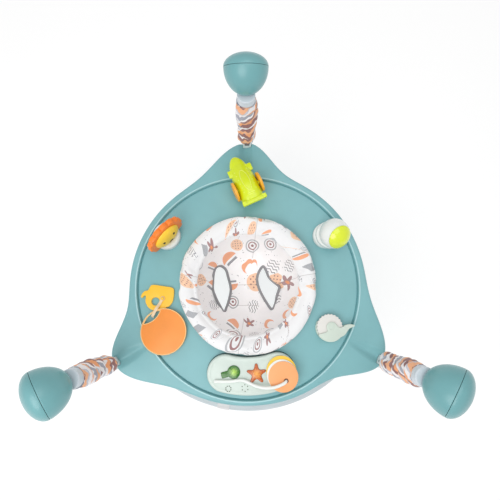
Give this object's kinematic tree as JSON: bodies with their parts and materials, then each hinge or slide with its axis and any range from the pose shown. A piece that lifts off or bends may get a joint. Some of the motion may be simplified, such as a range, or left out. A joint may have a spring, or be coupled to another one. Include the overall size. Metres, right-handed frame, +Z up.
{
  "type": "baby activity jumper",
  "caption": "Three-lobed play tray with a turning fabric seat and toys, hung on sprung covers from posts on a rounded base ring.",
  "frame": {"origin": "middle of the outline at floor level", "axes": "+Z up; the front with the light panel faces -Y; one post stands at the back, towards +Y"},
  "size_m": [0.9182, 0.955, 0.8032],
  "materials": {
    "teal_plastic": "satin moulded",
    "white_plastic": "satin moulded",
    "grey_plastic": "satin moulded",
    "mint_plastic": "satin moulded",
    "lime_plastic": "glossy moulded",
    "yellow_plastic": "satin moulded",
    "orange_plastic": "satin moulded",
    "peach_plastic": "satin moulded",
    "green_plastic": "clear tinted",
    "seat_fabric": "printed woven polyester",
    "cover_fabric": "gathered printed fabric",
    "webbing": "woven webbing",
    "spring_steel": "zinc plated wire",
    "rubber": "moulded"
  },
  "bodies": {
    "frame": {"base_tube_1": "grey_plastic", "base_tube_2": "grey_plastic", "base_tube_3": "grey_plastic", "foot_1": "white_plastic", "foot_2": "white_plastic", "foot_3": "white_plastic", "foot_pad_1": "rubber", "foot_pad_2": "rubber", "foot_pad_3": "rubber", "post_1": "grey_plastic", "post_2": "grey_plastic", "post_3": "grey_plastic", "housing_cap_1": "teal_plastic", "housing_cap_2": "teal_plastic", "housing_cap_3": "teal_plastic", "housing_body_1": "teal_plastic", "housing_body_2": "teal_plastic", "housing_body_3": "teal_plastic", "spring_neck_1": "grey_plastic", "spring_neck_2": "grey_plastic", "spring_neck_3": "grey_plastic", "spring_1": "spring_steel", "spring_2": "spring_steel", "spring_3": "spring_steel", "safety_strap_1": "webbing", "safety_strap_2": "webbing", "safety_strap_3": "webbing", "spring_cover_1": "cover_fabric", "spring_cover_2": "cover_fabric", "spring_cover_3": "cover_fabric"},
    "tray": {"tray": "teal_plastic", "spring_clip_1": "white_plastic", "spring_clip_2": "white_plastic", "spring_clip_3": "white_plastic", "racer_base": "white_plastic", "lion_base": "white_plastic", "dome_base": "white_plastic", "snail_body": "mint_plastic", "elephant": "yellow_plastic", "panel_housing": "mint_plastic", "page_rod": "white_plastic"},
    "seat": {"seat_ring": "white_plastic", "seat_pad": "seat_fabric", "seat_pouch": "seat_fabric"},
    "racer": {"racer_body": "lime_plastic", "racer_wheel_left": "yellow_plastic", "racer_wheel_right": "yellow_plastic"},
    "lion": {"lion_mane": "orange_plastic", "lion_face": "yellow_plastic"},
    "dome": {"dome_head": "white_plastic", "dome_visor": "lime_plastic"},
    "snail": {"snail_shell": "white_plastic"},
    "teether": {"link_strap": "peach_plastic", "teether": "orange_plastic"},
    "bulb": {"bulb_button": "green_plastic"},
    "star": {"star_button": "orange_plastic"},
    "yellow_page": {"page_yellow": "yellow_plastic"},
    "white_page": {"page_white": "white_plastic"},
    "peach_page": {"page_peach": "peach_plastic"}
  },
  "joints": [
    {"name": "bounce", "type": "slide", "parent": "frame", "child": "tray", "axis": [0, 0, 1], "range_m": [-0.1, 0.03], "stiffness_N_per_m": 1200, "springref_m": 0.0403, "deforming": ["spring_1", "spring_2", "spring_3", "safety_strap_1", "safety_strap_2", "safety_strap_3", "spring_cover_1", "spring_cover_2", "spring_cover_3"]},
    {"name": "seat_swivel", "type": "hinge", "parent": "tray", "child": "seat", "pos_m": [0, -0.02493, 0.45], "axis": [0, 0, 1], "continuous": true},
    {"name": "racer_rock", "type": "hinge", "parent": "tray", "child": "racer", "pos_m": [-0.00669, 0.26999, 0.47], "axis": [-0.91, -0.4147, 0], "range_deg": [-10, 10], "stiffness_Nm_per_rad": 0.3},
    {"name": "lion_spin", "type": "hinge", "parent": "tray", "child": "lion", "pos_m": [-0.23363, 0.11545, 0.47], "axis": [0, 0, 1], "continuous": true},
    {"name": "dome_spin", "type": "hinge", "parent": "tray", "child": "dome", "pos_m": [0.22632, 0.1143, 0.468], "axis": [0, 0, 1], "continuous": true},
    {"name": "snail_shell_spin", "type": "hinge", "parent": "tray", "child": "snail", "pos_m": [0.22626, -0.14523, 0.458], "axis": [0, 0, 1], "continuous": true},
    {"name": "teether_swing", "type": "hinge", "parent": "tray", "child": "teether", "pos_m": [-0.24084, -0.06391, 0.458], "axis": [0, 0, 1], "range_deg": [-20, 4]},
    {"name": "bulb_push", "type": "slide", "parent": "tray", "child": "bulb", "axis": [0, 0, -1], "range_m": [0, 0.002], "stiffness_N_per_m": 400},
    {"name": "star_push", "type": "slide", "parent": "tray", "child": "star", "axis": [0, 0, -1], "range_m": [0, 0.002], "stiffness_N_per_m": 400},
    {"name": "yellow_page_turn", "type": "hinge", "parent": "tray", "child": "yellow_page", "pos_m": [0.1013, -0.28405, 0.476], "axis": [0, 0, 1], "continuous": true},
    {"name": "white_page_turn", "type": "hinge", "parent": "tray", "child": "white_page", "pos_m": [0.1013, -0.28405, 0.479], "axis": [0, 0, 1], "continuous": true},
    {"name": "peach_page_turn", "type": "hinge", "parent": "tray", "child": "peach_page", "pos_m": [0.1013, -0.28405, 0.482], "axis": [0, 0, 1], "continuous": true}
  ]
}
